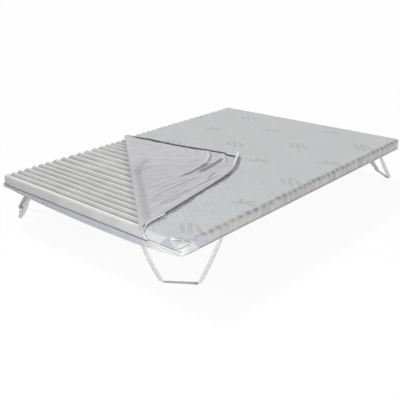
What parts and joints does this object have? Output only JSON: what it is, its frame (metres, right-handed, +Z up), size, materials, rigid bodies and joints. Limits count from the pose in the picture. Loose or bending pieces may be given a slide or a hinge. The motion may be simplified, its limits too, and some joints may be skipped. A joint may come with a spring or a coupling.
{
  "type": "mattress topper",
  "caption": "Ribbed cold foam mattress topper in a zipped knitted cover, with a folded-back corner that shows the foam and elastic straps under its corners.",
  "frame": {"origin": "centre of the flat underside, where the topper rests on the mattress", "axes": "+Z up out of the mattress, +X across the width, +Y along the length; the open corner is at -X, -Y"},
  "size_m": [1.4054, 2.0026, 0.2673],
  "materials": {
    "knit": "double knit, fine woven relief, matt",
    "lining": "brushed inner side of the knit, matt",
    "foam": "open-cell cold foam, matt",
    "tape": "woven polyester tape, matt",
    "teeth": "moulded coil, satin",
    "zip_metal": "lacquered die-cast zinc",
    "elastic": "woven elastic, matt",
    "thread": "polyester thread",
    "label_ribbon": "printed satin ribbon",
    "label_satin": "plain white satin"
  },
  "bodies": {
    "cover_and_foam": {"foam_core": "foam", "cover_top_panel": "knit", "cover_top_lining": "lining", "cover_fold_knit": "knit", "cover_fold_lining": "lining", "cover_bottom_panel": "knit", "cover_bottom_binding": "tape", "cover_bottom_border_front": "tape", "cover_bottom_border_corner": "tape", "cover_bottom_border_side": "tape", "zip_tape_lower_open": "tape", "zip_teeth_lower_open": "teeth", "zip_tape_lower_closed": "tape", "zip_teeth_lower_closed": "teeth", "zip_tape_upper_back": "tape", "zip_tape_upper_front": "tape", "zip_teeth_upper_back": "teeth", "zip_teeth_upper_front": "teeth", "zip_end_stop_front": "zip_metal", "zip_end_stop_back": "zip_metal", "zip_tape_curl_front": "tape", "zip_tape_curl_side": "tape", "badge_ribbon": "label_ribbon", "badge_patch": "label_satin", "strap_tab_end_front_left": "elastic", "strap_tab_side_front_left": "elastic", "strap_tab_end_front_right": "elastic", "strap_tab_side_front_right": "elastic", "strap_tab_end_back_left": "elastic", "strap_tab_side_back_left": "elastic", "strap_tab_end_back_right": "elastic", "strap_tab_side_back_right": "elastic", "strap_tack_end_front_left": "thread", "strap_tack_side_front_left": "thread", "strap_tack_end_front_right": "thread", "strap_tack_side_front_right": "thread", "strap_tack_end_back_left": "thread", "strap_tack_side_back_left": "thread", "strap_tack_end_back_right": "thread", "strap_tack_side_back_right": "thread"},
    "flap": {"flap_panel": "knit", "flap_lining": "lining", "flap_wall_side": "knit", "flap_wall_tip": "knit", "flap_wall_front": "knit", "flap_zip_tape_side": "tape", "flap_zip_tape_front": "tape", "flap_zip_teeth_side": "teeth", "flap_zip_teeth_front": "teeth", "flap_corner_hem": "tape"},
    "zip_slider": {"zip_slider": "zip_metal"},
    "zip_pull_tab": {"zip_pull_tab": "zip_metal"},
    "corner_strap_front_left": {"corner_strap_front_left": "elastic"},
    "corner_strap_front_right": {"corner_strap_front_right": "elastic"},
    "corner_strap_back_left": {"corner_strap_back_left": "elastic"},
    "corner_strap_back_right": {"corner_strap_back_right": "elastic"}
  },
  "joints": [
    {"name": "flap_fold", "type": "hinge", "parent": "cover_and_foam", "child": "flap", "pos_m": [-0.7, -0.05, 0.066], "axis": [0.7701, -0.6379, 0], "range_deg": [0, 175], "deforming": ["cover_fold_knit", "cover_fold_lining"]},
    {"name": "zip_slide", "type": "slide", "parent": "cover_and_foam", "child": "zip_slider", "axis": [0, -1, 0], "range_m": [0, 0.88]},
    {"name": "pull_tab_swing", "type": "hinge", "parent": "zip_slider", "child": "zip_pull_tab", "pos_m": [-0.7026, -0.0387, 0.00915], "axis": [0, 0, 1], "range_deg": [0, 165]},
    {"name": "strap_swing_front_left", "type": "hinge", "parent": "cover_and_foam", "child": "corner_strap_front_left", "pos_m": [-0.444, -0.99905, 0], "axis": [-0.7239, 0.6899, 0], "range_deg": [-60, 70]},
    {"name": "strap_swing_front_right", "type": "hinge", "parent": "cover_and_foam", "child": "corner_strap_front_right", "pos_m": [0.444, -0.99905, 0], "axis": [-0.7239, -0.6899, 0], "range_deg": [-60, 70]},
    {"name": "strap_swing_back_left", "type": "hinge", "parent": "cover_and_foam", "child": "corner_strap_back_left", "pos_m": [-0.444, 0.99905, 0], "axis": [0.7239, 0.6899, 0], "range_deg": [-60, 70]},
    {"name": "strap_swing_back_right", "type": "hinge", "parent": "cover_and_foam", "child": "corner_strap_back_right", "pos_m": [0.444, 0.99905, 0], "axis": [0.7239, -0.6899, 0], "range_deg": [-60, 70]}
  ]
}
